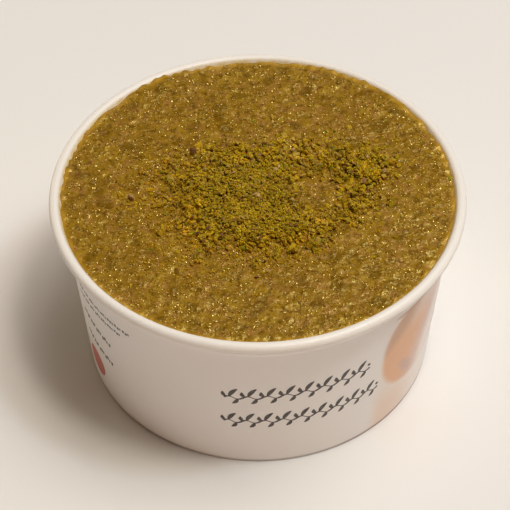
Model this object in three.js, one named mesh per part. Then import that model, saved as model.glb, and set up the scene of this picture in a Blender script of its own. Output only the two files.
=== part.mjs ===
// A squat paper cup of semolina dessert with ground pistachio on top.
// Millimetres, +Z up. The origin is the middle of the foot, on the surface that the cup stands on.
import * as THREE from 'three';

// Driving dimensions of the cup
const CUP_HEIGHT = 57.2;
const RIM_RADIUS = 57.5; // outside of the rolled rim
const FOOT_RADIUS = 49; // outside of the wall where it stands
const NECK_RADIUS = 54.12; // outside of the wall where it starts to flare into the roll
const NECK_HEIGHT = 54.45;
const WALL_BOARD = 0.45; // thickness of the coated paper board
const BOTTOM_BOARD = 0.4;
const ROLL_RADIUS = 1.5; // half the thickness of the rolled rim
const ROLL_START_DEG = 150; // where the flare runs into the roll
const ROLL_END_DEG = -140; // where the rolled edge stops, tucked in beside the wall
const FOLD_HEIGHT = 5.6; // how high the wall's bottom edge is folded back up inside
const BOTTOM_HEIGHT = 6; // underside of the bottom disc
const FIT_GAP = 0.3; // between plies, and between the food and the cup

// Driving dimensions of the food
const FOOD_LEVEL = 55.5; // at the wall
const DOME = 1.1; // how much higher the middle stands
const SWELL = 0.22; // broad unevenness of the top, and the shorter ripple on it
const RIPPLE = 0.15;
// extra height against the wall behind: a dab, the low bank that it stands in, and one on the right
const SPOONED_UP = [
  { sideDeg: 121, height: 1, reachDeg: 9 },
  { sideDeg: 140, height: 0.5, reachDeg: 40 },
  { sideDeg: 50, height: 1.1, reachDeg: 34 },
];
const PATCH_THICKNESS = 1.9; // of the crumbs, over the food below them
const PATCH_EDGE = 0.35;
const PATCH_LUMPS = 0.25;

const CUP_SEGMENTS = 64;
const FOOD_SEGMENTS = 64;
const PATCH_SEGMENTS = 48;

// The cup's wall is a cone from the foot to the neck.
const wallSlope = (NECK_RADIUS - FOOT_RADIUS) / NECK_HEIGHT;
const wallRadius = (z) => FOOT_RADIUS + wallSlope * z;
const gripRadius = (z) => wallRadius(z) - WALL_BOARD - FIT_GAP; // of what the wall holds
const rollCentre = { r: RIM_RADIUS - ROLL_RADIUS, z: CUP_HEIGHT - ROLL_RADIUS };

/** Points [r, z] on an arc round a centre, from one angle to another, both ends included. */
function arc(centre, radius, fromDeg, toDeg, steps) {
  const points = [];
  for (let i = 0; i <= steps; i++) {
    const angle = THREE.MathUtils.degToRad(fromDeg + ((toDeg - fromDeg) * i) / steps);
    points.push([centre.r + radius * Math.cos(angle), centre.z + radius * Math.sin(angle)]);
  }
  return points;
}

/** A solid turned about Z from a profile of [r, z] points, listed with the solid on their left. */
function turned(profile) {
  const points = profile.map(([r, z]) => new THREE.Vector2(r, z));
  return new THREE.LatheGeometry(points, CUP_SEGMENTS).rotateX(Math.PI / 2);
}

/** One closed body from rings of [x, y, z] points, lowest first, with a single point at each end. */
function stacked(firstPoint, rings, lastPoint) {
  const count = rings[0].length;
  const positions = [firstPoint, ...rings.flat(), lastPoint].flat();
  const last = 1 + rings.length * count;
  const indices = [];
  for (let i = 0; i < count; i++) {
    const next = (i + 1) % count;
    indices.push(0, 1 + next, 1 + i);
    for (let k = 0; k < rings.length - 1; k++) {
      const low = 1 + k * count;
      const high = low + count;
      indices.push(low + i, low + next, high + next, low + i, high + next, high + i);
    }
    const top = last - count;
    indices.push(top + i, top + next, last);
  }
  const geometry = new THREE.BufferGeometry();
  geometry.setAttribute('position', new THREE.Float32BufferAttribute(positions, 3));
  geometry.setIndex(indices);
  geometry.computeVertexNormals();
  return geometry;
}

function named(name, geometry, colour, roughness) {
  const material = new THREE.MeshStandardMaterial({ color: colour, roughness, metalness: 0 });
  const mesh = new THREE.Mesh(geometry, material);
  mesh.name = name;
  return mesh;
}

/**
 * The side wall: one strip of board. Its top edge is rolled outwards into the rim, and its bottom
 * edge is folded up inside into a channel that grips the bottom disc's skirt.
 */
function cupWall() {
  const corner = 0.25;
  const channelFloor = 0.6;
  const rollSteps = 10;
  const foldDepth = 2 * WALL_BOARD + BOTTOM_BOARD + 2 * FIT_GAP; // outer ply, skirt and inner ply
  const innerFace = (z) => wallRadius(z) - foldDepth;
  return turned([
    [innerFace(0), corner],
    [innerFace(0) + corner, 0],
    [FOOT_RADIUS - corner, 0],
    [wallRadius(corner), corner],
    [NECK_RADIUS, NECK_HEIGHT],
    ...arc(rollCentre, ROLL_RADIUS - WALL_BOARD, ROLL_START_DEG, ROLL_END_DEG, rollSteps),
    ...arc(rollCentre, ROLL_RADIUS, ROLL_END_DEG, ROLL_START_DEG, rollSteps),
    [NECK_RADIUS - WALL_BOARD, NECK_HEIGHT],
    [wallRadius(channelFloor) - WALL_BOARD, channelFloor],
    [innerFace(channelFloor) + WALL_BOARD, channelFloor],
    [innerFace(FOLD_HEIGHT) + WALL_BOARD, FOLD_HEIGHT],
    [innerFace(FOLD_HEIGHT), FOLD_HEIGHT],
    [innerFace(0), corner],
  ]);
}

/** The bottom: a disc with its edge turned down into a skirt that sits in the wall's channel. */
function cupBottom() {
  const skirtEnd = 0.9;
  const bend = 0.6;
  const top = BOTTOM_HEIGHT + BOTTOM_BOARD;
  const bendStart = top - bend;
  const bendCentre = { r: gripRadius(bendStart) - bend, z: bendStart };
  return turned([
    [0, BOTTOM_HEIGHT],
    ...arc(bendCentre, bend - BOTTOM_BOARD, 90, 0, 2),
    [gripRadius(skirtEnd) - BOTTOM_BOARD, skirtEnd],
    [gripRadius(skirtEnd), skirtEnd],
    ...arc(bendCentre, bend, 0, 90, 3),
    [0, top],
  ]);
}

/** Height of the food's uneven top at a point. */
function foodTop(x, y) {
  const share = Math.min(Math.hypot(x, y) / NECK_RADIUS, 1);
  const flatter = 1 - 0.6 * share; // the top is evener towards the wall
  const swell = SWELL * Math.sin(x / 7.1 + 0.6) * Math.cos(y / 8.3 - 0.4);
  const ripple = RIPPLE * Math.sin((x + y) / 4.7);
  const sideDeg = THREE.MathUtils.radToDeg(Math.atan2(y, x));
  const nearWall = THREE.MathUtils.smoothstep(share, 0.75, 1);
  let spooned = 0;
  for (const bank of SPOONED_UP) {
    const away = (sideDeg - bank.sideDeg) / bank.reachDeg;
    spooned += bank.height * Math.exp(-away * away) * nearWall;
  }
  return FOOD_LEVEL + DOME * (1 - share * share) + (swell + ripple) * flatter + spooned;
}

/** The semolina: it fills the cup from the bottom disc to the rim, with an uneven top. */
function filling() {
  const floor = BOTTOM_HEIGHT + BOTTOM_BOARD + FIT_GAP;
  const edgeRadius = NECK_RADIUS - FIT_GAP; // the flare above the neck leaves it room
  const sideShoulder = 0.5;
  const topRings = 15;
  const ring = (radius, height) =>
    Array.from({ length: FOOD_SEGMENTS }, (_, i) => {
      const angle = (2 * Math.PI * i) / FOOD_SEGMENTS;
      const x = radius * Math.cos(angle);
      const y = radius * Math.sin(angle);
      return [x, y, height ?? foodTop(x, y)];
    });
  const rings = [
    ring(gripRadius(floor) - sideShoulder, floor),
    ring(gripRadius(floor + sideShoulder), floor + sideShoulder),
    ring(gripRadius(NECK_HEIGHT / 2), NECK_HEIGHT / 2),
    ring(gripRadius(NECK_HEIGHT), NECK_HEIGHT),
  ];
  for (let k = topRings; k > 0; k--) rings.push(ring((edgeRadius * k) / topRings));
  return stacked([0, 0, floor], rings, [0, 0, foodTop(0, 0)]);
}

/** The pistachio: a thin uneven patch of crumbs on the food, as it was sprinkled. */
function crumbPatch() {
  const outline = new THREE.CatmullRomCurve3(
    [
      [37, 16],
      [26, 22],
      [8, 21],
      [-15, 17],
      [-27, 8],
      [-26, -8],
      [-17, -20],
      [-2, -27],
      [12, -23],
      [24, -13],
      [29, 0],
    ].map(([x, y]) => new THREE.Vector3(x, y, 0)),
    true,
  );
  const middle = new THREE.Vector3(2, -3, 0);
  const rim = outline.getSpacedPoints(PATCH_SEGMENTS).slice(0, PATCH_SEGMENTS);
  const ringCount = 8;
  const lumps = (x, y) => PATCH_LUMPS * Math.sin(x / 2.1) * Math.sin(y / 1.8 + 0.7);
  const under = (x, y) => foodTop(x, y) + FIT_GAP;
  const over = (x, y, share) =>
    under(x, y) + PATCH_EDGE + (1 - share * share) * (PATCH_THICKNESS - PATCH_EDGE + lumps(x, y));
  const ring = (share, height) =>
    rim.map((point) => {
      const { x, y } = middle.clone().lerp(point, share);
      return [x, y, height(x, y, share)];
    });
  const shares = Array.from({ length: ringCount }, (_, k) => (k + 1) / ringCount);
  return stacked(
    [middle.x, middle.y, under(middle.x, middle.y)],
    [...shares.map((share) => ring(share, under)), ...shares.reverse().map((share) => ring(share, over))],
    [middle.x, middle.y, over(middle.x, middle.y, 0)],
  );
}

const group = new THREE.Group();
group.add(
  named('cup_wall', cupWall(), 0xece3da, 0.55),
  named('cup_bottom', cupBottom(), 0xece3da, 0.55),
  named('semolina_filling', filling(), 0x8f6a1f, 0.35),
  named('pistachio_crumbs', crumbPatch(), 0x8f7d1c, 0.8),
);

export default group;
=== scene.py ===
"""A squat paper cup of semolina dessert with ground pistachio on top, standing on a pale table."""

import math
from itertools import combinations

import bpy
import numpy as np
from mathutils import Matrix, Vector


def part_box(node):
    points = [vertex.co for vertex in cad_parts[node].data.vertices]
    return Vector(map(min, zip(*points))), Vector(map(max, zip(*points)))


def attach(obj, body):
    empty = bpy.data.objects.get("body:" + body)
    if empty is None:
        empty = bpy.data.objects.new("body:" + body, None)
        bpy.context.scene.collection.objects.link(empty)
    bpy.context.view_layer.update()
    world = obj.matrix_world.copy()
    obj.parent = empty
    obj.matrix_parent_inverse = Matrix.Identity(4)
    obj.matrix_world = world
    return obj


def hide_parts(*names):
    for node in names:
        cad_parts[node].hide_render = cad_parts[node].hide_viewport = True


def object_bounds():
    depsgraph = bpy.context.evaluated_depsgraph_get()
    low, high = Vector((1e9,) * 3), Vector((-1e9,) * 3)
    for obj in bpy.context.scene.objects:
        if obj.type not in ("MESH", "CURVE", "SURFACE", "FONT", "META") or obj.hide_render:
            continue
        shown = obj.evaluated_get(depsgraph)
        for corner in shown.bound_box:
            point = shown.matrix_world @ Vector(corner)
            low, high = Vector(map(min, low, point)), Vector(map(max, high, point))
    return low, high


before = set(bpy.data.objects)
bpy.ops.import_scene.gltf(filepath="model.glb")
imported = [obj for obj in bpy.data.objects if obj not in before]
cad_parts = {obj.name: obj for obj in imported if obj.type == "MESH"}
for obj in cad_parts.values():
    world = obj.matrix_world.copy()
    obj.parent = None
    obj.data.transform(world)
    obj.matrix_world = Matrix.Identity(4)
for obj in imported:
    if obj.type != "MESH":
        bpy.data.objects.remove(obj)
cad_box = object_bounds()

# ------------------------------------------------------------------------------------------------
# The side wall. A strip of white coated board is wrapped into a cone and glued along an overlapped
# seam at the back. Its top edge flares and is rolled outwards into the rim, and its bottom edge is
# folded up inside, round the bottom's skirt. Sizes are millimetres until a mesh is made.
# ------------------------------------------------------------------------------------------------
MM = 0.001
wall_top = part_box("cup_wall")[1] / MM
CUP_HEIGHT = wall_top.z
RIM_RADIUS = wall_top.x
FOOT_RADIUS = 49.0
NECK_RADIUS = 54.12
NECK_HEIGHT = 54.45
BOARD = 0.45
BOTTOM_BOARD = 0.4
GLUE_GAP = 0.3
ROLL_RADIUS = 1.5
ROLL_START_DEG = 150
ROLL_END_DEG = -140
FOLD_HEIGHT = 5.6
CHANNEL_FLOOR = 0.6
FOOT_CORNER = 0.4
BEAD_HEIGHT = 50.7  # a faint pressed line round the wall, under the rim
BEAD_RISE = 0.22
BEAD_REACH = 0.65
SEAM_DEG = 212.0  # round from the front, towards the right
SEAM_LAP = 8.0
SEAM_EASE = 14.0  # how far past the lap the board takes to come back to its round
AROUND = 240  # steps round the cup
NUDGE = 0.001  # radians that keep those steps off the lap's edges
EDGE_DROP = 0.0006  # radians in which the board steps down at a raw edge
FIRST_STEP = 2.0  # height of the wall's first step above the foot's corner
FINE_FROM = 46.0  # the wall has closer steps above this, for the pressed line
RIM_HOLDS = (50.0, 54.0)  # heights between which the rim takes over and holds the board round
MIDDLE_RADIUS = (FOOT_RADIUS + NECK_RADIUS) / 2
SEAM_START = math.radians(SEAM_DEG)
LAP_ANGLE = SEAM_LAP / MIDDLE_RADIUS
EASE_ANGLE = SEAM_EASE / MIDDLE_RADIUS
FULL_TURN = 2 * math.pi


def smooth_step(value, low, high):
    """0 below low, 1 above high, and a smooth rise between them."""
    share = np.clip((value - low) / (high - low), 0, 1)
    return share * share * (3 - 2 * share)


def cone_radius(height):
    """Outside radius of the plain cone at a height."""
    return FOOT_RADIUS + (NECK_RADIUS - FOOT_RADIUS) * height / NECK_HEIGHT


def board_drift(turn, height):
    """How far the board strays from a true cone: it is never quite round between rim and foot."""
    free = np.sin(math.pi * np.clip(height / CUP_HEIGHT, 0, 1))
    broad = 0.16 * np.sin(2 * turn + 0.7) + 0.10 * np.sin(3 * turn + 2.1)
    short = 0.05 * np.sin(5 * turn + height / 16) + 0.03 * np.sin(9 * turn - height / 11)
    return (broad + short) * (0.25 + 0.75 * free) * (1 - smooth_step(height, *RIM_HOLDS))


def lap_thickness(turn, starts_at):
    """The extra board at the seam: a raw edge at starts_at, then a slow return to the round."""
    past = np.mod(turn - starts_at, FULL_TURN)
    whole = SEAM_START + LAP_ANGLE - starts_at
    return BOARD * (1 - smooth_step(past, whole, whole + EASE_ANGLE))


def pressed_line(height):
    """How far the line under the rim stands out."""
    return BEAD_RISE * np.exp(-(((height - BEAD_HEIGHT) / BEAD_REACH) ** 2))


def skin_radius(turn, height):
    """Outside radius of the wall, with its pressed line, drift and seam."""
    even = cone_radius(height) + pressed_line(height)
    return even + board_drift(turn, height) + lap_thickness(turn, SEAM_START)


def arc(centre, radius, from_deg, to_deg, steps):
    """Points (radius, height) on an arc, both ends included."""
    angles = np.radians(np.linspace(from_deg, to_deg, steps + 1))
    return [(centre[0] + radius * math.cos(a), centre[1] + radius * math.sin(a)) for a in angles]


def up_the_cone(from_height, to_height, steps, inwards=0.0):
    """Points on the cone from one height up, or down, to just before another."""
    heights = np.linspace(from_height, to_height, steps, endpoint=False)
    return [(cone_radius(height) - inwards, height) for height in heights]


def turned(profile, turns, shift=None):
    """Points and four-sided faces of a closed outline turned round the cup's axis. shift gives the
    radius to add at each turn and outline point."""
    profile = np.array(profile)
    radius = profile[None, :, 0] + (0 if shift is None else shift)
    radius = np.broadcast_to(radius, (len(turns), len(profile)))
    height = np.broadcast_to(profile[None, :, 1], radius.shape)
    x = radius * np.sin(turns)[:, None]
    y = -radius * np.cos(turns)[:, None]
    points = np.stack([x, y, height], axis=-1).reshape(-1, 3)
    count = len(profile)
    here, along = np.meshgrid(np.arange(len(turns)), np.arange(count), indexing="ij")
    beyond = (here + 1) % len(turns)
    up = (along + 1) % count
    corners = [here * count + along, beyond * count + along, beyond * count + up, here * count + up]
    return points, np.stack(corners, axis=-1).reshape(-1, 4)


class Finish:
    """A material with one main shader, and short ways to wire its nodes."""

    def __init__(self, name, **settings):
        self.material = bpy.data.materials.new(name)
        self.material.use_nodes = True
        self.tree = self.material.node_tree
        self.shader = self.tree.nodes["Principled BSDF"]
        for setting, value in settings.items():
            self.shader.inputs[setting.replace("_", " ")].default_value = value

    def feed(self, value, socket):
        """Links a socket, or sets a number or a linear (r, g, b)."""
        if isinstance(value, bpy.types.NodeSocket):
            self.tree.links.new(value, socket)
        elif socket.type == "RGBA":
            socket.default_value = (*value, 1)
        else:
            socket.default_value = value

    def node(self, kind, inputs=None, **options):
        """Adds a node, with values or links for the inputs that are named or numbered."""
        made = self.tree.nodes.new(kind)
        for option, value in options.items():
            setattr(made, option, value)
        for name, value in (inputs or {}).items():
            self.feed(value, made.inputs[name])
        return made

    def calc(self, operation, *values):
        """One arithmetic step on sockets or numbers."""
        return self.node("ShaderNodeMath", dict(enumerate(values)), operation=operation).outputs[0]

    def times(self, product, *others):
        """Two or more shares multiplied together."""
        for other in others:
            product = self.calc("MULTIPLY", product, other)
        return product

    def rise(self, value, low, high, to_low=0.0, to_high=1.0):
        """A smooth change from one number to another as value goes from low to high."""
        ramp = self.node("ShaderNodeMapRange", {0: value, 1: low, 2: high, 3: to_low, 4: to_high})
        ramp.interpolation_type = "SMOOTHSTEP"
        return ramp.outputs[0]

    def between(self, value, start, full, fading, gone):
        """1 from full to fading, and 0 before start and after gone."""
        return self.times(self.rise(value, start, full), self.rise(value, fading, gone, 1.0, 0.0))

    def place(self):
        """The point of the object itself, in metres, so that a pattern stays on its piece."""
        return self.node("ShaderNodeTexCoord").outputs["Object"]

    def noise(self, scale, detail=2.0, roughness=0.5):
        """Soft random patches from 0 to 1. scale is in patches per metre."""
        wanted = {"Vector": self.place(), "Scale": scale, "Detail": detail, "Roughness": roughness}
        return self.node("ShaderNodeTexNoise", wanted).outputs["Fac"]

    def blend(self, share, colour, other):
        """A mix of two colours."""
        made = self.node("ShaderNodeMix", data_type="RGBA")
        for index, value in ((0, share), (6, colour), (7, other)):
            self.feed(value, made.inputs[index])
        return made.outputs[2]

    def colour(self, value):
        self.feed(value, self.shader.inputs["Base Color"])

    def roughness(self, value):
        self.feed(value, self.shader.inputs["Roughness"])

    def bump(self, height, strength, distance):
        wanted = {"Height": height, "Strength": strength, "Distance": distance}
        self.feed(self.node("ShaderNodeBump", wanted).outputs[0], self.shader.inputs["Normal"])


def make_piece(name, points, faces, finishes, slot, sharp_deg=None):
    """A mesh object that rides on the cup, from points in millimetres and faces."""
    mesh = bpy.data.meshes.new(name)
    mesh.from_pydata((np.asarray(points) * MM).tolist(), [], [list(map(int, face)) for face in faces])
    mesh.shade_smooth()
    if sharp_deg is not None:
        mesh.set_sharp_from_angle(angle=math.radians(sharp_deg))
    for finish in finishes:
        mesh.materials.append(finish.material)
    piece = bpy.data.objects.new(name, mesh)
    bpy.context.scene.collection.objects.link(piece)
    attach(piece, "root")
    return piece


roll_centre = (RIM_RADIUS - ROLL_RADIUS, CUP_HEIGHT - ROLL_RADIUS)
rolled = [
    *arc(roll_centre, ROLL_RADIUS - BOARD, ROLL_START_DEG, ROLL_END_DEG, 18),
    *arc(roll_centre, ROLL_RADIUS, ROLL_END_DEG, ROLL_START_DEG, 30),
]
flare_top = rolled[-1]


def coated_board(name):
    """Satin coated board: a very faint tooth under the coat."""
    finish = Finish(name, IOR=1.45)
    finish.roughness(finish.rise(finish.noise(900, 3), 0.3, 0.7, 0.36, 0.5))
    finish.bump(finish.noise(2600, 3, 0.6), 0.12, 0.00005)
    return finish


def polar_place(finish):
    """Sockets for the height, the radius and the distance round from the front, in millimetres."""
    split = finish.node("ShaderNodeSeparateXYZ", {0: finish.place()})
    towards_front = finish.calc("MULTIPLY", split.outputs[1], -1.0)
    turn = finish.calc("ARCTAN2", split.outputs[0], towards_front)
    squares = [finish.calc("POWER", split.outputs[axis], 2.0) for axis in (0, 1)]
    radius = finish.calc("SQRT", finish.calc("ADD", *squares))
    return (
        finish.calc("DIVIDE", split.outputs[2], MM),
        finish.calc("DIVIDE", radius, MM),
        finish.calc("MULTIPLY", turn, MIDDLE_RADIUS),
    )


# the bare side and the rolled rim, with butter and painted bounce light and shade on the flare
BARE_WHITE = (0.84, 0.79, 0.725)
BUTTER_AND_BOUNCE_SHADE = (0.70, 0.52, 0.20)
bare = coated_board("coated_board")
height, radius, _ = polar_place(bare)
# painted shade and bounce light: the flare's butter colour also stands in for the food's yellow light on
# it
butter_and_bounce = bare.times(
    bare.rise(height, 56.0, CUP_HEIGHT, 0.95, 0.0),
    bare.rise(bare.noise(350), 0.3, 0.6, 0.4, 1.0),
    bare.rise(radius, 55.7, 55.3),
    bare.rise(height, 53.0, 54.0),
    bare.rise(bare.calc("SUBTRACT", height, radius), 0.3, 0.7),  # none under the roll
)
bare.colour(bare.blend(butter_and_bounce, BARE_WHITE, BUTTER_AND_BOUNCE_SHADE))

# the printed side: a soft round field of salmon, brown along its upper left and pinker on the right,
# cut off by a fine brown line, with a pale peach wash below it. Places on it are millimetres round
# from the front at mid height, and up, and all of it has faded out before the back
FIELD_MIDDLE = (53.8, 31.1)
FIELD_HALF = (17.2, 17.9)
FIELD_TOP = 46.6
MAUVE_MIDDLE = (47.4, 59.4)  # a smear across the field, its second distance being aslant
MAUVE_HALF = (3.2, 2.9)
LINE_HALF = 0.75
BOARD_WHITE = (0.86, 0.83, 0.80)
# painted light: the board is whiter round on the right, where the lamps fall on the wall
LIT_SIDE_WHITE = (0.98, 0.94, 0.91)
SALMON = (0.80, 0.445, 0.245)
FIELD_BROWN = (0.60, 0.355, 0.225)
FIELD_PINK = (0.76, 0.51, 0.41)
FIELD_MAUVE = (0.50, 0.35, 0.37)
PALE_PINK = (0.84, 0.69, 0.61)
PEACH = (0.86, 0.68, 0.56)
# painted shade: a dark band round the foot, where the wall meets the table
FOOT_DARK = (0.13, 0.10, 0.085)
FOOT_DARK_RED = (0.25, 0.10, 0.07)


def soft_round(finish, across, height, middle, half, power, softness):
    """1 inside a soft-edged round shape on the wall, 0 outside."""
    parts = []
    for value, centre, reach in zip((across, height), middle, half):
        share = finish.calc("DIVIDE", finish.calc("SUBTRACT", value, centre), reach)
        parts.append(finish.calc("POWER", finish.calc("ABSOLUTE", share), power))
    return finish.rise(finish.calc("ADD", *parts), 1 - softness, 1 + softness, 1.0, 0.0)


def slanted(finish, value, other, slope):
    """One distance less a share of another, so that a change of tone runs aslant."""
    return finish.calc("SUBTRACT", value, finish.calc("MULTIPLY", other, slope))


printed = coated_board("printed_board")
height, _, across = polar_place(printed)
sideways = slanted(printed, across, height, 0.35)
upwards = slanted(printed, height, across, -0.83)
brown = printed.rise(slanted(printed, height, across, 0.75), 2.0, 8.0, 0.0, 0.85)
pink = printed.rise(sideways, 38.5, 44.5, 0.0, 0.95)
paler = printed.times(printed.rise(height, 33, 46, 0.0, 0.8), printed.rise(sideways, 29, 37))
mauve = printed.times(soft_round(printed, across, upwards, MAUVE_MIDDLE, MAUVE_HALF, 2.0, 0.98), 0.45)
inside = printed.blend(brown, SALMON, FIELD_BROWN)
inside = printed.blend(pink, inside, FIELD_PINK)
inside = printed.blend(paler, inside, PALE_PINK)
inside = printed.blend(mauve, inside, FIELD_MAUVE)

# painted light and sheen: whiter round to the right side, where the lamps light the wall
painted_light_right = printed.between(across, 41, 51, 80, 140)
wash = printed.times(
    printed.between(across, 32.5, 39.0, 60, 80),
    printed.rise(height, 22, 8, 0.25, 0.9),
    printed.rise(across, 42, 60, 1.0, 0.3),
)
outside = printed.blend(painted_light_right, BOARD_WHITE, LIT_SIDE_WHITE)
outside = printed.blend(wash, outside, PEACH)

cover = printed.times(
    soft_round(printed, across, height, FIELD_MIDDLE, FIELD_HALF, 2.4, 0.16),
    printed.rise(sideways, 43.5, 52.0, 0.95, 0.2),
    printed.rise(height, FIELD_TOP, FIELD_TOP + 0.6, 1.0, 0.0),
)
off_line = printed.calc("ABSOLUTE", printed.calc("SUBTRACT", height, FIELD_TOP))
line = printed.times(
    printed.rise(off_line, LINE_HALF / 2, LINE_HALF, 0.75, 0.0),
    printed.between(across, 38.5, 41.0, 50, 66),
)
paint = printed.blend(cover, outside, inside)
paint = printed.blend(line, paint, FIELD_BROWN)

# the lowest millimetre of the wall is painted darker, as painted shade at the foot, and redder on the
# right
redder_right = printed.between(across, 10, 38, 70, 120)
foot_dark_tone = printed.blend(redder_right, FOOT_DARK, FOOT_DARK_RED)
foot_dark_share = printed.times(
    printed.rise(height, 0.5, 1.5, 1.0, 0.0),
    printed.rise(redder_right, 0.0, 1.0, 0.45, 0.75),
)
printed.colour(printed.blend(foot_dark_share, paint, foot_dark_tone))

# the wall's outline: up the outside, round the rolled rim, down the inside and round the fold
FOLD_DEPTH = 2 * BOARD + BOTTOM_BOARD + 2 * GLUE_GAP
fold_foot = cone_radius(0) - FOLD_DEPTH
outer = [
    *arc((FOOT_RADIUS - FOOT_CORNER, FOOT_CORNER), FOOT_CORNER, -90, 0, 4),
    *up_the_cone(FIRST_STEP, FINE_FROM, 12),
    *up_the_cone(FINE_FROM, NECK_HEIGHT, 30),
    (NECK_RADIUS, NECK_HEIGHT),
]
inner = [
    *up_the_cone(NECK_HEIGHT, CHANNEL_FLOOR, 8, BOARD),
    (cone_radius(CHANNEL_FLOOR) - BOARD, CHANNEL_FLOOR),
    (cone_radius(CHANNEL_FLOOR) - FOLD_DEPTH + BOARD, CHANNEL_FLOOR),
    (cone_radius(FOLD_HEIGHT) - FOLD_DEPTH + BOARD, FOLD_HEIGHT),
    (cone_radius(FOLD_HEIGHT) - FOLD_DEPTH, FOLD_HEIGHT),
    *arc((fold_foot + FOOT_CORNER, FOOT_CORNER), FOOT_CORNER, 180, 270, 4),
]
outline = np.array([*outer, *rolled, *inner])

# it is turned round the axis, with steps at the lap's two raw edges: the outer one on the outside,
# the inner one on the inside, and the roll left even
seam_edges = np.array([SEAM_START, SEAM_START + LAP_ANGLE])
even_turns = np.linspace(0, FULL_TURN, AROUND, endpoint=False) + NUDGE
wall_turns = np.sort(np.concatenate([even_turns, seam_edges, seam_edges - EDGE_DROP]))
turn_grid = wall_turns[:, None]
order = np.arange(len(outline))[None, :]
on_outside = order < len(outer)
on_roll = ~on_outside & (order < len(outer) + len(rolled))
height_grid = outline[None, :, 1]
lap_outside = lap_thickness(turn_grid, SEAM_START)
lap_inside = lap_thickness(turn_grid, SEAM_START + LAP_ANGLE)
wall_shift = np.where(on_roll, 0.0, lap_inside)
wall_shift = np.where(on_outside, pressed_line(height_grid) + lap_outside, wall_shift)
wall_shift = wall_shift + board_drift(turn_grid, height_grid) * ~on_roll
wall_points, wall_faces = turned(outline, wall_turns, wall_shift)
paper_wall = make_piece("paper_wall", wall_points, wall_faces, [bare, printed], "cup_board", sharp_deg=35)
printed_faces = (np.arange(len(wall_faces)) % len(outline)) < len(outer) - 1
paper_wall.data.polygons.foreach_set("material_index", printed_faces.astype(np.int32))
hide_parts("cup_wall")

# ------------------------------------------------------------------------------------------------
# The bottom: a disc of the same board with its edge turned down into a skirt, which the wall's
# folded foot grips. It shows only from below.
# ------------------------------------------------------------------------------------------------
BOTTOM_HEIGHT = 6.0
SKIRT_END = 0.9
BEND = 0.6
DISC_MIDDLE = 0.02  # the disc's outline starts this close to the axis
disc_top = BOTTOM_HEIGHT + BOTTOM_BOARD


def grip_radius(height):
    """Outside radius of what the wall holds."""
    return cone_radius(height) - BOARD - GLUE_GAP


bend_centre = (grip_radius(disc_top - BEND) - BEND, disc_top - BEND)
disc_outline = [
    (DISC_MIDDLE, BOTTOM_HEIGHT),
    *arc(bend_centre, BEND - BOTTOM_BOARD, 90, 0, 4),
    (grip_radius(SKIRT_END) - BOTTOM_BOARD, SKIRT_END),
    (grip_radius(SKIRT_END), SKIRT_END),
    *arc(bend_centre, BEND, 0, 90, 5),
    (DISC_MIDDLE, disc_top),
]
disc_points, disc_faces = turned(disc_outline, np.linspace(0, FULL_TURN, AROUND // 2, endpoint=False))
paper_bottom = make_piece("paper_bottom", disc_points, disc_faces, [bare], "cup_board", sharp_deg=35)
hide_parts("cup_bottom")

# ------------------------------------------------------------------------------------------------
# The ornament: dark ink printed on the wall, as two running vines in front, four rules of dashes on
# the left and a plain red spot below them. Each is laid on the board as a film of ink.
# ------------------------------------------------------------------------------------------------
INK_LIFT = 0.03
INK_SUNK = 0.06
INK_BROWN = (0.050, 0.038, 0.032)
INK_RED = (0.60, 0.16, 0.135)
RING_PITCH = 1.5  # between the rings of points in a spot
VINE_PITCH = 5.2
WAVE_STEPS = 12  # steps in one wave of the stem
STEM_WAVE = 0.62
STEM_WIDTH = 0.46
STEM_SWELL = 0.2
LEAF_BEND = 0.35
# the leaves of one wave: how far along it, where beside the stem, direction, share of the full
# length, and width
LEAVES = (
    (0.25, (0.1, 0.5), 58, 1.0, 1.25),
    (0.25, (-0.7, 0.3), 112, 0.55, 1.0),
    (0.75, (-0.2, -0.5), -122, 0.62, 1.1),
)
BERRY_ALONG = 0.75
BERRY_BESIDE = (0.9, 1.5)
BERRY_RADIUS = 0.5
# each vine: its left end, its right end and the length of its longest leaves
VINES = (((-9.5, 30.6), (31.5, 32.4), 4.3), ((-10.0, 19.4), (35.5, 20.8), 4.1))
FINE_RULE = 1.0
BOLD_RULE = 1.6
# each rule: its left end, its right end, how many dashes and how thick
RULES = (
    ((-62.5, 41.6), (-36.8, 42.4), 25, FINE_RULE),
    ((-62.5, 38.2), (-40.7, 39.4), 22, FINE_RULE),
    ((-62.0, 31.0), (-47.0, 29.0), 14, BOLD_RULE),
    ((-62.0, 22.2), (-47.6, 20.2), 14, BOLD_RULE),
)
LONG_DASH = 0.72  # shares of the room that a dash has
SHORT_DASH = 0.4
DASH_WAVER = 0.2  # shares of a dash's thickness, as for its ends
DASH_ENDS = 0.7
SPOT_PLACE = (-59.3, 10.9)
SPOT_RADIUS = 5.0


def ink_finish(name, colour):
    """Ink with the board's tooth showing through it."""
    finish = Finish(name, IOR=1.45)
    worn = finish.rise(finish.noise(3000, 3, 0.6), 0.45, 0.8)
    lighter = tuple(0.8 * c + 0.2 * w for c, w in zip(colour, BOARD_WHITE))
    finish.colour(finish.blend(worn, colour, lighter))
    finish.roughness(finish.rise(finish.noise(1500), 0.3, 0.7, 0.4, 0.5))
    return finish


brown_ink = ink_finish("brown_ink", INK_BROWN)
red_ink = ink_finish("red_ink", INK_RED)


def on_wall(across, height, lift):
    """Points of the flat artwork, wrapped on the wall."""
    turns = np.asarray(across) / MIDDLE_RADIUS
    radius = skin_radius(turns, np.asarray(height)) + lift
    return np.stack([radius * np.sin(turns), -radius * np.cos(turns), height + 0 * turns], axis=-1)


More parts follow.
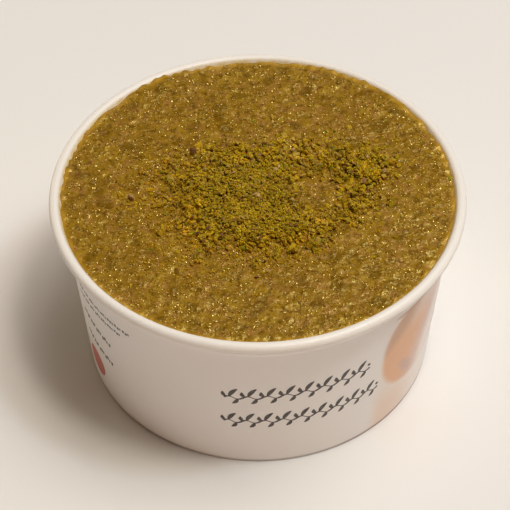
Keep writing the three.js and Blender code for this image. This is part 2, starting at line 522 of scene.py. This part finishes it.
def stroke(line, widths):
    """A pen stroke along a line of (across, height) points, as a thin closed strip of ink."""
    line = np.asarray(line, float)
    run = np.gradient(line, axis=0)
    run /= np.maximum(np.hypot(run[:, 0], run[:, 1]), 1e-9)[:, None]
    side = np.stack([-run[:, 1], run[:, 0]], axis=-1) * np.asarray(widths)[:, None] / 2
    corners = ((side, INK_LIFT), (-side, INK_LIFT), (-side, -INK_SUNK), (side, -INK_SUNK))
    edges = []
    for aside, lift in corners:
        edges.append(on_wall(line[:, 0] + aside[:, 0], line[:, 1] + aside[:, 1], lift))
    points = np.stack(edges, axis=1).reshape(-1, 3)
    faces = [(0, 1, 2, 3)]
    for start in range(0, 4 * (len(line) - 1), 4):
        for k in range(4):
            low, high = start + k, start + (k + 1) % 4
            faces.append((low, low + 4, high + 4, high))
    last = 4 * (len(line) - 1)
    faces.append((last + 3, last + 2, last + 1, last))
    return points, faces


def spot(middle, radius, steps):
    """A round spot of ink: rings from its middle out, then down into the board."""
    angles = np.linspace(0, FULL_TURN, steps, endpoint=False)
    ring_count = max(1, int(radius / RING_PITCH))
    points = [on_wall(*middle, INK_LIFT)[None, :]]
    for k in range(1, ring_count + 2):
        reach = radius * min(k / ring_count, 1)
        lift = INK_LIFT if k <= ring_count else -INK_SUNK
        ring = middle[0] + reach * np.cos(angles), middle[1] + reach * np.sin(angles)
        points.append(on_wall(*ring, lift))
    points.append(on_wall(*middle, -INK_SUNK)[None, :])
    last = 1 + ring_count * steps
    faces = []
    for i in range(steps):
        j = (i + 1) % steps
        faces.append((0, 1 + i, 1 + j))
        for low in range(1, last, steps):
            faces.append((low + i, low + steps + i, low + steps + j, low + j))
        faces.append((last + j, last + i, last + steps))
    return np.concatenate(points), faces


def joined(parts):
    """Several (points, faces) as one."""
    points, faces, start = [], [], 0
    for part_points, part_faces in parts:
        points.append(part_points)
        faces += [tuple(int(i) + start for i in face) for face in part_faces]
        start += len(part_points)
    return np.concatenate(points), faces


def leaf(root, direction_deg, length, width):
    """A slim pointed leaf of ink, slightly bent."""
    share = np.linspace(0, 1, 9)
    angle = math.radians(direction_deg)
    forward = np.array([math.cos(angle), math.sin(angle)])
    aside = np.array([-forward[1], forward[0]])
    bend = LEAF_BEND * np.sin(math.pi * share)
    line = np.asarray(root) + share[:, None] * length * forward + bend[:, None] * aside
    return stroke(line, width * np.sin(math.pi * (0.04 + 0.94 * share)) ** 0.8 + 0.1)


def vine(start, end, tall):
    """A running vine: a waving stem with a leaf above and below at each wave, and a berry between."""
    start, end = np.array(start), np.array(end)
    waves = round(np.hypot(*(end - start)) / VINE_PITCH)
    share = np.linspace(0, 1, waves * WAVE_STEPS + 1)
    line = start + share[:, None] * (end - start)
    phase = share * waves * FULL_TURN
    line[:, 1] += STEM_WAVE * np.sin(phase)
    parts = [stroke(line, STEM_WIDTH + STEM_SWELL * np.cos(phase))]
    for i in range(waves):
        for along, beside, direction_deg, long, wide in LEAVES:
            root = start + (end - start) * (i + along) / waves + beside
            parts.append(leaf(root, direction_deg, long * tall, wide))
        berry = start + (end - start) * (i + BERRY_ALONG) / waves + BERRY_BESIDE
        parts.append(spot(berry, BERRY_RADIUS, 12))
    return parts


def dashed_rule(left_end, right_end, dashes, thick):
    """A rule of short dashes, a little above and below the line in turns, every third one shorter."""
    left_end, right_end = np.array(left_end), np.array(right_end)
    pitch = (right_end - left_end) / dashes
    parts = []
    for i in range(dashes):
        waver = (0, DASH_WAVER * thick * math.sin(2.4 * i))
        start = left_end + pitch * (i + 0.2) + waver
        reach = pitch * (LONG_DASH if i % 3 else SHORT_DASH)
        points = [start, start + 0.5 * reach, start + reach]
        parts.append(stroke(points, [DASH_ENDS * thick, thick, DASH_ENDS * thick]))
    return parts


vines = [part for ends_and_size in VINES for part in vine(*ends_and_size)]
rules = [part for ends_and_dashes in RULES for part in dashed_rule(*ends_and_dashes)]
make_piece("printed_vines", *joined(vines), [brown_ink], "cup_board", sharp_deg=40)
make_piece("printed_rules", *joined(rules), [brown_ink], "cup_board", sharp_deg=40)
make_piece("printed_red_spot", *spot(SPOT_PLACE, SPOT_RADIUS, 48), [red_ink], "cup_board", sharp_deg=40)

# ------------------------------------------------------------------------------------------------
# The semolina: grains cooked in syrup and butter until they swell and cling, then pressed in with a
# spoon, nearly level with the rim. The body is one piece whose top is a bed of wet, half-merged
# grains, and its edge lies on the flare under the rim.
# ------------------------------------------------------------------------------------------------
FOOD_LEVEL = 55.5
DOME = 1.1
SWELL = 0.22
RIPPLE = 0.15
CRUMBLED = 0.2  # how far the food's edge wanders up and down on the flare
# where the spoon banked it up against the wall: degrees round from the front, extra height, reach
BANKS = ((-149.0, 1.0, 9.0), (-130.0, 0.5, 40.0), (140.0, 1.1, 34.0))
STREWN_REACH = 62.0  # lumps are strewn at least this far out
# the lumps of the top: how far apart, how wide as a share of that, and the seed of their places
CLODS = (2.7, 0.38, 11)
GRAINS = (0.9, 0.33, 12)
PITS = (3.3, 0.15, 13)
COARSE_AREAS = (8.0, 0.42, 14)
SOAKED_AREAS = (5.2, 0.34, 15)
SOAKED_RISE = (0.38, 0.72)  # how high those lumps are where the top starts to be soaked, and is
PITTED_SHARE = 0.5
CLOD_RISE = 0.38
GRAIN_RISE = 0.27
PIT_DEPTH = 0.25
BED_SUNK = 0.13  # keeps the lumps' mean height near the food's own
LUMPS_END = (53.4, 54.5)  # radii between which the lumps die away towards the wall
TOP_CELLS = 305  # of the top's grid, along one side
INTO_BOARD = 0.03  # no gap shows between the food and the board
SIDE_GAP = 0.05
FLARE_SLOPE = (flare_top[0] - NECK_RADIUS + BOARD) / (flare_top[1] - NECK_HEIGHT)


def smooth_top(x, y):
    """The food's top without its grain: slightly domed, uneven, and banked up behind."""
    share = np.minimum(np.hypot(x, y) / NECK_RADIUS, 1)
    flatter = 1 - 0.6 * share
    swell = SWELL * np.sin(x / 7.1 + 0.6) * np.cos(y / 8.3 - 0.4)
    ripple = RIPPLE * np.sin((x + y) / 4.7)
    turn = np.arctan2(x, -y)
    banked = 0
    for side_deg, extra, reach_deg in BANKS:
        away = np.angle(np.exp(1j * (turn - math.radians(side_deg)))) / math.radians(reach_deg)
        banked = banked + extra * np.exp(-away * away)
    crumbly = CRUMBLED * np.sin(29 * turn + 4 * np.sin(5 * turn + 1))
    crumbly = crumbly + CRUMBLED * np.sin(67 * turn + 6 * np.sin(7 * turn))
    banked = banked * smooth_step(share, 0.75, 1) + crumbly * smooth_step(share, 0.96, 1)
    return FOOD_LEVEL + DOME * (1 - share * share) + (swell + ripple) * flatter + banked


def strewn(x, y, spacing, width, seed, share=1.0):
    """Soft round lumps about a spacing apart: the height of their sum, where one lump is up to 1.
    share is the part of the places that have a lump."""
    rng = np.random.default_rng(seed)
    half = int(STREWN_REACH / spacing) + 2
    cells = (2 * half + 1, 2 * half + 1)
    jitter_x, jitter_y = rng.random(cells), rng.random(cells)
    rise = rng.uniform(0.2, 1.0, cells) * (rng.random(cells) < share)
    reach = spacing * width * rng.uniform(0.75, 1.25, cells)
    column = np.floor(x / spacing).astype(int) + half
    row = np.floor(y / spacing).astype(int) + half
    total = np.zeros_like(x)
    for dx in (-1, 0, 1):
        for dy in (-1, 0, 1):
            i, j = column + dx, row + dy
            away_x = x - (i - half + jitter_x[i, j]) * spacing
            away_y = y - (j - half + jitter_y[i, j]) * spacing
            total += rise[i, j] * np.exp(-(away_x**2 + away_y**2) / reach[i, j] ** 2)
    return total


def grainy_top(x, y):
    """Height of the food's surface with clods, grains and a few pits."""
    clods = CLOD_RISE * strewn(x, y, *CLODS)
    coarse = 0.55 + 0.6 * strewn(x, y, *COARSE_AREAS)
    fine = GRAIN_RISE * coarse * strewn(x, y, *GRAINS)
    pits = PIT_DEPTH * strewn(x, y, *PITS, PITTED_SHARE)
    relief = clods + fine - pits - BED_SUNK
    return smooth_top(x, y) + relief * (1 - smooth_step(np.hypot(x, y), *LUMPS_END))


def soaked(x, y):
    """1 where the syrup has soaked the top smooth and dark and few grains stand free, 0 elsewhere."""
    return smooth_step(strewn(x, y, *SOAKED_AREAS), *SOAKED_RISE)


def disc_grid(cells):
    """A square grid of points pressed evenly into a round of radius 1, its triangles and its border."""
    line = np.linspace(-1, 1, cells + 1)
    a, b = np.meshgrid(line, line, indexing="ij")
    wide = np.abs(a) > np.abs(b)
    ring = np.where(wide, a, b)
    safe = np.where(ring == 0, 1, ring)
    angle = np.where(wide, math.pi / 4 * (b / safe), math.pi / 2 - math.pi / 4 * (a / safe))
    number = np.arange((cells + 1) ** 2).reshape(cells + 1, cells + 1)
    p, q, r, s = number[:-1, :-1], number[1:, :-1], number[1:, 1:], number[:-1, 1:]
    flip = (np.add.outer(np.arange(cells), np.arange(cells)) % 2).astype(bool)[..., None]
    first = np.where(flip, np.stack([p, q, r], -1), np.stack([p, q, s], -1))
    second = np.where(flip, np.stack([p, r, s], -1), np.stack([q, r, s], -1))
    border = np.concatenate([number[0, :-1], number[:-1, -1], number[-1, :0:-1], number[:0:-1, 0]])
    triangles = np.concatenate([first, second]).reshape(-1, 3)
    return (ring * np.cos(angle)).ravel(), (ring * np.sin(angle)).ravel(), triangles, border


def edge_radius(x, y):
    """How far out the food reaches on the flare, in the direction of a point."""
    away = np.maximum(np.hypot(x, y), 1e-6)
    level = smooth_top(NECK_RADIUS * x / away, NECK_RADIUS * y / away)
    return NECK_RADIUS - BOARD + FLARE_SLOPE * (level - NECK_HEIGHT) + INTO_BOARD


unit_x, unit_y, top_faces, border = disc_grid(TOP_CELLS)
edge = edge_radius(unit_x, unit_y)
food_x, food_y = unit_x * edge, unit_y * edge
food_top = np.stack([food_x, food_y, grainy_top(food_x, food_y)], axis=-1)
food_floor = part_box("semolina_filling")[0].z / MM
sides = []
for level in (NECK_HEIGHT, food_floor):
    held = cone_radius(level) - BOARD - SIDE_GAP
    sides.append(np.stack([held * unit_x[border], held * unit_y[border], 0 * border + level], -1))
ring = len(border)
food_points = np.concatenate([food_top, *sides, [[0, 0, food_floor]]])
rings = [border, len(food_top) + np.arange(ring), len(food_top) + ring + np.arange(ring)]
food_faces = [top_faces]
for upper, lower in zip(rings, rings[1:]):
    upper_next, lower_next = np.roll(upper, -1), np.roll(lower, -1)
    food_faces.append(np.stack([upper, upper_next, lower], -1))
    food_faces.append(np.stack([upper_next, lower_next, lower], -1))
floor_middle = np.full(ring, len(food_points) - 1)
food_faces.append(np.stack([lower, lower_next, floor_middle], -1))
food_faces = np.concatenate(food_faces)

# cooked grain, glistening with syrup: patchy olive brown, darker, rosier and yellower in turns,
# and buttery where it thins out against the wall
OLIVE = (0.248, 0.128, 0.007)
GOLD = (0.320, 0.178, 0.012)
DEEP = (0.128, 0.059, 0.001)
ROSY = (0.330, 0.157, 0.034)
BUTTERY = (0.46, 0.25, 0.020)
SYRUP_GLINT = (1.0, 0.83, 0.28, 1.0)
wet = Finish("wet_semolina", IOR=1.75, Specular_Tint=SYRUP_GLINT)
_, radius, _ = polar_place(wet)
tone = wet.blend(wet.rise(wet.noise(190, 3, 0.55), 0.40, 0.62), OLIVE, GOLD)
tone = wet.blend(wet.rise(wet.noise(310, 2), 0.50, 0.68, 0.0, 0.8), tone, ROSY)
tone = wet.blend(wet.rise(wet.noise(520, 3, 0.6), 0.48, 0.66, 0.0, 0.9), tone, DEEP)
dark_patch = wet.node("ShaderNodeAttribute", attribute_name="soaked").outputs["Fac"]
tone = wet.blend(wet.times(dark_patch, 0.6), tone, DEEP)
thin = wet.times(wet.rise(radius, 52.2, 54.3), wet.rise(wet.noise(260, 2), 0.35, 0.6, 0.25, 0.9))
tone = wet.blend(thin, tone, BUTTERY)
wet.colour(tone)
wet.roughness(wet.rise(wet.noise(700, 2), 0.35, 0.65, 0.12, 0.34))
wet.bump(wet.noise(1500, 3, 0.6), 0.5, 0.0003)
halva = make_piece("semolina_body", food_points, food_faces, [wet], "semolina")
soaked_layer = halva.data.color_attributes.new("soaked", "FLOAT_COLOR", "POINT")
soaked_share = np.ones((len(food_points), 4), np.float32)
soaked_share[:, :3] = soaked(food_points[:, 0], food_points[:, 1])[:, None]
soaked_layer.data.foreach_set("color", soaked_share.ravel())
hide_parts("semolina_filling")

# ------------------------------------------------------------------------------------------------
# Loose semolina grains: swollen ones that stand a little free of the bed, all over its top, each
# about half a millimetre to one across, some paler where they took less syrup.
# ------------------------------------------------------------------------------------------------
SHORT_SIDE = 1.1  # corners of a ball of radius 1 that share a face are nearer than this at first
GRAZING = 0.15  # a cut that faces a point less than this leaves it alone
UNCUT = 9.0
BELOW_TOP = 0.03  # how far the highest bit stays under the top of the CAD box
HIGHEST = cad_box[1].z / MM - BELOW_TOP
GRAINS_END = NECK_RADIUS - 0.8
SOAKED_AWAY = 0.6  # share of the loose grains that are gone where the top is soaked
SOAKED_DARKER = 0.2
PALE_GRAIN = (0.44, 0.27, 0.05)


def ball(halvings):
    """Points and faces of a round ball: twenty faces, each split in four the given number of times."""
    golden = (1 + 5**0.5) / 2
    corners = [(-1, golden), (1, golden), (-1, -golden), (1, -golden)]
    points = [Vector(c).normalized() for p, q in corners for c in ((p, q, 0), (0, p, q), (q, 0, p))]
    faces = []
    for i, j, k in combinations(range(len(points)), 3):
        a, b, c = points[i], points[j], points[k]
        if max((a - b).length, (b - c).length, (a - c).length) < SHORT_SIDE:
            outward = (b - a).cross(c - a).dot(a + b + c) > 0
            faces.append((i, j, k) if outward else (i, k, j))
    for _ in range(halvings):
        middles, finer = {}, []
        for face in faces:
            halves = []
            for a, b in zip(face, face[1:] + face[:1]):
                key = (min(a, b), max(a, b))
                if key not in middles:
                    middles[key] = len(points)
                    points.append((points[a] + points[b]).normalized())
                halves.append(middles[key])
            finer.append((face[0], halves[0], halves[2]))
            finer.append((face[1], halves[1], halves[0]))
            finer.append((face[2], halves[2], halves[1]))
            finer.append(tuple(halves))
        faces = finer
    return np.array([tuple(p) for p in points]), np.array(faces)


fine_ball = ball(0)
round_ball = ball(1)


def chipped(start, count, cuts, depth, rough, rng):
    """Different bits from one ball: each is cut flat by some planes and roughened."""
    around = start[0]
    bits = []
    for _ in range(count):
        planes = rng.normal(size=(cuts, 3))
        planes /= np.linalg.norm(planes, axis=1)[:, None]
        reach = rng.uniform(depth, 1.0, cuts)
        facing = around @ planes.T
        limit = np.where(facing > GRAZING, reach / np.maximum(facing, GRAZING), UNCUT)
        radius = np.minimum(limit.min(axis=1), 1) * (1 + rng.normal(0, rough, len(around)))
        bits.append(around * radius[:, None])
    return np.array(bits)


def any_way_up(count, rng, flat=0.0):
    """Random turns, as matrices. With flat near 1 the bits lie down."""
    quaternion = rng.normal(size=(count, 4))
    quaternion[:, 1:3] *= 1 - flat
    quaternion /= np.linalg.norm(quaternion, axis=1)[:, None]
    w, x, y, z = quaternion.T
    rows = [
        [1 - 2 * (y * y + z * z), 2 * (x * y - z * w), 2 * (x * z + y * w)],
        [2 * (x * y + z * w), 1 - 2 * (x * x + z * z), 2 * (y * z - x * w)],
        [2 * (x * z - y * w), 2 * (y * z + x * w), 1 - 2 * (x * x + y * y)],
    ]
    return np.stack([np.stack(row, -1) for row in rows], axis=1)


def mixed_tints(count, palette, spread, rng):
    """A tint for each bit: a blend of two of the palette's colours, a little lighter or darker."""
    palette = np.array(palette)
    first, second = rng.integers(0, len(palette), (2, count))
    share = rng.random((count, 1))
    tints = palette[first] * share + palette[second] * (1 - share)
    return tints * rng.uniform(1 - spread, 1 + spread, (count, 1))


def scattered(name, start, bits, places, sizes, turns, tints, finish, slot, sharp_deg=None):
    """One joined mesh of many bits, each with its own size, turn, place and tint."""
    count = len(places)
    chosen = bits[np.arange(count) % len(bits)] * sizes[:, None, :] / 2
    points = np.einsum("nij,nkj->nki", turns, chosen) + places[:, None, :]
    points[..., 2] -= np.maximum(points[..., 2].max(axis=1) - HIGHEST, 0)[:, None]
    faces = start[1][None] + (np.arange(count) * len(start[0]))[:, None, None]
    piece = make_piece(name, points.reshape(-1, 3), faces.reshape(-1, 3), [finish], slot, sharp_deg)
    layer = piece.data.color_attributes.new("tint", "FLOAT_COLOR", "POINT")
    rgba = np.ones((count, len(start[0]), 4), np.float32)
    rgba[..., :3] = tints[:, None, :]
    layer.data.foreach_set("color", rgba.ravel())
    return piece


def tinted(name, smoothest, roughest, **settings):
    """A finish that takes its colour from each bit's own tint, mottled."""
    finish = Finish(name, **settings)
    own = finish.node("ShaderNodeAttribute", attribute_name="tint").outputs["Color"]
    mottle = finish.rise(finish.noise(2500, 3, 0.6), 0.35, 0.7, 1.12, 0.75)
    mottled = finish.node("ShaderNodeVectorMath", {0: own, "Scale": mottle}, operation="SCALE")
    finish.colour(mottled.outputs[0])
    finish.roughness(finish.rise(finish.noise(1800, 2), 0.3, 0.7, smoothest, roughest))
    finish.bump(finish.noise(4200, 3, 0.6), 0.4, 0.00012)
    return finish


wet_grain = tinted("wet_grain", 0.10, 0.25, IOR=2.1, Specular_Tint=SYRUP_GLINT)


def grains(name, palette, count, small, large, seed):
    """Loose grains of one kind, fewer and darker where the syrup has soaked the top."""
    rng = np.random.default_rng(seed)
    away = GRAINS_END * np.sqrt(rng.random(count))
    angle = rng.uniform(0, FULL_TURN, count)
    x, y = away * np.cos(angle), away * np.sin(angle)
    dark = soaked(x, y)
    free = rng.random(count) > SOAKED_AWAY * dark
    x, y, dark, count = x[free], y[free], dark[free], int(free.sum())
    size = rng.uniform(small, large, (count, 1)) * rng.uniform(0.7, 1.15, (count, 3))
    sunk = rng.uniform(0.05, 0.3, count) * size.mean(axis=1)
    places = np.stack([x, y, grainy_top(x, y) - sunk], -1)
    bits = chipped(fine_ball, count=32, cuts=3, depth=0.8, rough=0.05, rng=rng)
    turns = any_way_up(count, rng)
    tints = mixed_tints(count, palette, spread=0.15, rng=rng) * (1 - SOAKED_DARKER * dark[:, None])
    scattered(name, fine_ball, bits, places, size, turns, tints, wet_grain, "semolina", sharp_deg=20)


grains("semolina_grains", [OLIVE, GOLD, ROSY], count=9400, small=0.5, large=1.0, seed=21)
grains("semolina_grains_pale", [PALE_GRAIN, GOLD], count=3000, small=0.4, large=0.8, seed=22)

# ------------------------------------------------------------------------------------------------
# The ground pistachio: chopped nut sprinkled by hand over the middle. Most is yellow-green crumb,
# with browner crumb beneath it in the gaps, its colour partly painted shade, and finer meal between;
# among it lie brighter green bits, purple-brown skins and pale tan chips.
# ------------------------------------------------------------------------------------------------
# where the handfuls fell: x, y, reach across, reach along, share of the nut
HANDFULS = np.array([
    (-3, -3, 10.5, 8.5, 0.42),
    (4, -13, 10, 5.5, 0.14),
    (-12, 4, 8, 7, 0.11),
    (8, 12, 11, 5.5, 0.11),
    (29, 10, 5.5, 5, 0.11),
    (26, -4, 5, 5, 0.05),
    (0, -2, 19, 14, 0.06),
])
# and where only the finest of it drifted
DRIFTS = np.array([
    (-25, 3, 8, 9, 0.16),
    (-13, -20, 12, 8, 0.20),
    (12, -20, 10, 6, 0.06),
    (0, 0, 24, 19, 0.10),
])
NUT_END = 50  # radius beyond which only single bits lie
BARE_X, BARE_Y, BARE_REACH = 16, 0, 7.5  # a place between the handfuls that got hardly any
BARED = 0.9  # share of the bits that are missing in its middle
HEAP_REACH = 58.0
HEAP_CELL = 0.25
HEAP_HALF = int(HEAP_REACH / HEAP_CELL)
PERCHED = 0.1  # bits rest this far from the mean of the ground under them towards its highest point
# shares of a bit's size: the room that it needs above the ground, how far it raises the ground at
# its edge, and how much more in its middle
TOP_ROOM = 0.8
RAISED_EDGE = 0.15
RAISED_MIDDLE = 0.35
NUT_CLUMPS = (4.6, 0.42, 16)  # how far apart, how wide as a share of that, and seed
YELLOW_GREEN = [
    (0.50, 0.295, 0.009),
    (0.42, 0.275, 0.007),
    (0.48, 0.30, 0.045),
    (0.40, 0.22, 0.006),
    (0.44, 0.295, 0.007),
]
# painted shade: the browner crumb lies first, in the gaps, and its brown stands in for their warm shade
BROWNER_GAP_SHADE = [(0.46, 0.24, 0.004), (0.40, 0.22, 0.004), (0.42, 0.20, 0.003)]
BRIGHT_GREEN = [(0.23, 0.22, 0.006), (0.29, 0.28, 0.008), (0.17, 0.17, 0.006)]
SKIN = [(0.19, 0.085, 0.035), (0.24, 0.115, 0.05), (0.14, 0.06, 0.025)]
TAN = [(0.44, 0.26, 0.09), (0.50, 0.31, 0.14), (0.46, 0.29, 0.03)]
# light goes a little way into the nut, so that the gaps between the bits stay light
dry_nut = tinted(
    "ground_nut", 0.55, 0.8, IOR=1.45, Specular_Tint=(1.0, 0.85, 0.3, 1.0),
    Subsurface_Weight=0.8, Subsurface_Radius=(1.0, 0.75, 0.1), Subsurface_Scale=0.001,
)
# heights of the ground that the bits fall on, which rises as they pile up
heap_line = (np.arange(2 * HEAP_HALF + 1) - HEAP_HALF) * HEAP_CELL
heap = grainy_top(*np.meshgrid(heap_line, heap_line, indexing="ij"))


def sprinkled(count, spread, fine, rng):
    """Places where bits landed: around the handfuls, and thinly in the bare place between them."""
    kept = []
    heaps = np.concatenate([HANDFULS, DRIFTS]) if fine else HANDFULS
    shares = heaps[:, 4] / heaps[:, 4].sum()
    while len(kept) < count:
        middle_x, middle_y, wide, long, _ = heaps[rng.choice(len(heaps), p=shares)]
        x, y = middle_x + spread * wide * rng.normal(), middle_y + spread * long * rng.normal()
        bare_away = ((x - BARE_X) / BARE_REACH) ** 2 + ((y - BARE_Y) / BARE_REACH) ** 2
        if math.hypot(x, y) < NUT_END and rng.random() > BARED * math.exp(-(bare_away**2)):
            kept.append((x, y))
    return np.array(kept)


def settled(spots, sizes, sink):
    """Drops the bits one after another on the heap, and gives the height where each comes to rest.
    sink is the share of a bit's size that goes into the ground."""
    heights = np.empty(len(spots))
    for n, ((x, y), size) in enumerate(zip(spots, sizes.mean(axis=1))):
        reach = max(1, round(size / 2 / HEAP_CELL))
        i, j = round(x / HEAP_CELL) + HEAP_HALF, round(y / HEAP_CELL) + HEAP_HALF
        patch = heap[i - reach:i + reach + 1, j - reach:j + reach + 1]
        ground = patch.mean() + PERCHED * (patch.max() - patch.mean())
        ground = min(ground, HIGHEST - TOP_ROOM * size)
        heights[n] = ground + (0.5 - sink) * size
        away = np.hypot(*np.mgrid[-reach:reach + 1, -reach:reach + 1]) / (reach + 0.5)
        rounded = np.sqrt(np.maximum(1 - away**2, 0))
        np.maximum(patch, ground + (RAISED_EDGE + RAISED_MIDDLE * rounded) * size, out=patch)
    return heights


def nut(
    name, palette, count, small, large, spread, seed,
    fine=False, shape=(1.2, 1, 0.75), flat=0.0, sink=0.7, clumped=False, single=(),
):
    """Bits of one kind, lighter in some clumps than in others where clumped. single lists
    (x, y, size) of larger ones that lie by themselves."""
    rng = np.random.default_rng(seed)
    start = fine_ball if fine else round_ball
    size = small + (large - small) * rng.random(count) ** 1.6
    spots = sprinkled(count, spread, fine, rng)
    for n, (x, y, wide) in enumerate(single):
        spots[n], size[n] = (x, y), wide
    size = size[:, None] * rng.uniform(0.7, 1.25, (count, 3)) * shape
    bits = chipped(start, count=24, cuts=6, depth=0.3, rough=0.12, rng=rng)
    places = np.column_stack([spots, settled(spots, size, sink)])
    turns = any_way_up(count, rng, flat)
    tints = mixed_tints(count, palette, spread=0.18, rng=rng)
    if clumped:
        tints = tints * (0.72 + 0.48 * strewn(*spots.T, *NUT_CLUMPS))[:, None]
    return scattered(name, start, bits, places, size, turns, tints, dry_nut, "pistachio", sharp_deg=24)


nut(
    "pistachio_small_bits", BROWNER_GAP_SHADE, count=3400, small=0.6, large=1.4, spread=1.0, seed=36,
    fine=True, clumped=True,
)
nut(
    "pistachio_bright_bits", BRIGHT_GREEN, count=190, small=0.6, large=1.7, spread=1.2, seed=33,
    single=((53.0, 5.8, 1.6), (46, 20, 1.2)),
)
crumbs = nut(
    "pistachio_bits", YELLOW_GREEN, count=2350, small=0.9, large=2.5, spread=0.95, seed=32,
    clumped=True, single=((35.1, 21.3, 2.0),),
)
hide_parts("pistachio_crumbs")
nut(
    "pistachio_meal", YELLOW_GREEN, count=2600, small=0.35, large=0.85, spread=1.1, seed=31,
    fine=True, clumped=True,
)
nut(
    "pistachio_skins", SKIN, count=70, small=0.5, large=1.5, spread=1.15, seed=34,
    shape=(1.2, 1, 0.35), flat=0.6, sink=0.2,
    single=((-18.0, 15.7, 2.2), (-5.6, 9.2, 1.8)),
)
nut(
    "pistachio_tan_chips", TAN, count=60, small=0.6, large=1.5, spread=1.2, seed=35,
    shape=(1.3, 1, 0.6), flat=0.5, sink=0.2,
    single=((-34.9, -1.6, 2.4), (-13.5, -21.7, 2.4), (5.0, 7.5, 2.0), (-0.1, -2.3, 2.4)),
)

# ------------------------------------------------------------------------------------------------
# The table, the light and the camera. Two small lamps and two broad ones hang high on the right and
# behind it, and two weak low ones stand for what the pale room throws back.
# ------------------------------------------------------------------------------------------------
TABLE_HALF = 4.0  # metres
TABLE_TONES = ((0.80, 0.775, 0.745), (0.82, 0.795, 0.765))
ROOM_COLOUR = (1.0, 0.93, 0.85, 1)
ROOM_GLOW = 0.02
# each lamp: turn and height in degrees, distance and size in metres, power and colour
LAMPS = {
    "high_front_lamp": (50, 73, 2.1, 0.28, 8.85, (1.0, 0.92, 0.81)),
    "high_side_lamp": (75, 66, 2.1, 0.28, 8.39, (0.75, 0.91, 1.0)),
    "broad_lamp": (80, 72, 2.1, 1.26, 19.0, (1.0, 0.90, 0.76)),
    "broad_back_lamp": (120, 65, 1.7, 1.27, 8.2, (0.98, 0.95, 1.0)),
    "low_left": (225, 12, 0.9, 0.45, 2.2, (1.0, 0.81, 0.56)),
    "low_front": (0, 12, 0.9, 0.45, 1.12, (1.0, 0.60, 0.39)),
}
# the camera's height is an angle, and its distance from the place that it aims at is millimetres
CAMERA_HEIGHT_DEG = 46.412
CAMERA_DISTANCE = 679.62
CAMERA_ROLL_DEG = -0.427
CAMERA_AIM = Vector((-0.886, 0, 31.818))
LENS = 169.71
SENSOR_WIDTH = 36
NEAREST_SEEN = 0.01
table_finish = Finish("table_top", Roughness=0.55, IOR=1.4)
table_finish.colour(table_finish.blend(table_finish.noise(6, 2), *TABLE_TONES))
table_mesh = bpy.data.meshes.new("table")
table_corners = [(TABLE_HALF * i, TABLE_HALF * j, 0) for i, j in ((-1, -1), (1, -1), (1, 1), (-1, 1))]
table_mesh.from_pydata(table_corners, [], [(0, 1, 2, 3)])
table_mesh.materials.append(table_finish.material)
table = bpy.data.objects.new("table", table_mesh)
bpy.context.scene.collection.objects.link(table)


def lamp(name, turn_deg, height_deg, distance, size, power, colour):
    """A square soft lamp aimed at the cup's foot. turn_deg goes round from the front to the right."""
    data = bpy.data.lights.new(name, "AREA")
    data.shape = "SQUARE"
    data.size = size
    data.energy = power
    data.color = colour
    made = bpy.data.objects.new(name, data)
    turn, height = math.radians(turn_deg), math.radians(height_deg)
    level = math.cos(height)
    away = Vector((math.sin(turn) * level, -math.cos(turn) * level, math.sin(height)))
    made.location = away * distance
    made.rotation_euler = away.to_track_quat("Z", "Y").to_euler()
    bpy.context.scene.collection.objects.link(made)


for lamp_name, settings in LAMPS.items():
    lamp(lamp_name, *settings)
world = bpy.data.worlds.new("room")
world.use_nodes = True
background = world.node_tree.nodes["Background"]
background.inputs["Color"].default_value = ROOM_COLOUR
background.inputs["Strength"].default_value = ROOM_GLOW
bpy.context.scene.world = world
bpy.context.scene.view_settings.view_transform = "Standard"

camera_height = math.radians(CAMERA_HEIGHT_DEG)
back = Vector((0, -math.cos(camera_height), math.sin(camera_height)))
level_right = Vector((1, 0, 0))
level_up = back.cross(level_right)
roll = math.radians(CAMERA_ROLL_DEG)
right = math.cos(roll) * level_right + math.sin(roll) * level_up
up = math.cos(roll) * level_up - math.sin(roll) * level_right
camera_data = bpy.data.cameras.new("camera")
camera_data.lens = LENS
camera_data.sensor_width = SENSOR_WIDTH
camera_data.clip_start = NEAREST_SEEN
camera = bpy.data.objects.new("camera", camera_data)
stand = Matrix((right, up, back)).transposed().to_4x4()
stand.translation = (CAMERA_AIM + CAMERA_DISTANCE * back) * MM
camera.matrix_world = stand
bpy.context.scene.collection.objects.link(camera)
bpy.context.scene.camera = camera
